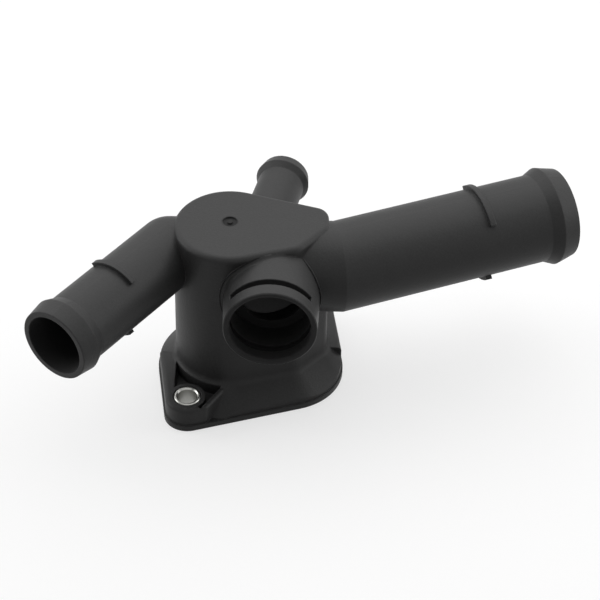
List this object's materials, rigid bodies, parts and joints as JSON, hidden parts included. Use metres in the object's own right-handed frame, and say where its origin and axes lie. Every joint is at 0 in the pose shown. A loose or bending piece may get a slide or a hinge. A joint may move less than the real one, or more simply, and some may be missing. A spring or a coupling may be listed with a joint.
{
  "type": "coolant flange",
  "caption": "Moulded engine coolant outlet with a bolt-on base flange, angled hose spigots and a clip-in sensor socket.",
  "frame": {"origin": "middle of the sealing face, half way between the two bolt axes", "axes": "+Z along the sealing face's inner normal, through the housing to its flat top; -Y is the way the sensor socket points; +X is the side of the large hose spigot"},
  "size_m": [0.1767, 0.0988, 0.0634],
  "materials": {
    "housing": "matt black glass-filled nylon",
    "sleeve": "bright turned steel",
    "seal": "black moulded rubber"
  },
  "bodies": {
    "root": {"flange_body": "housing", "bolt_sleeve_front": "sleeve", "bolt_sleeve_rear": "sleeve", "seal_ring": "seal"}
  },
  "joints": []
}
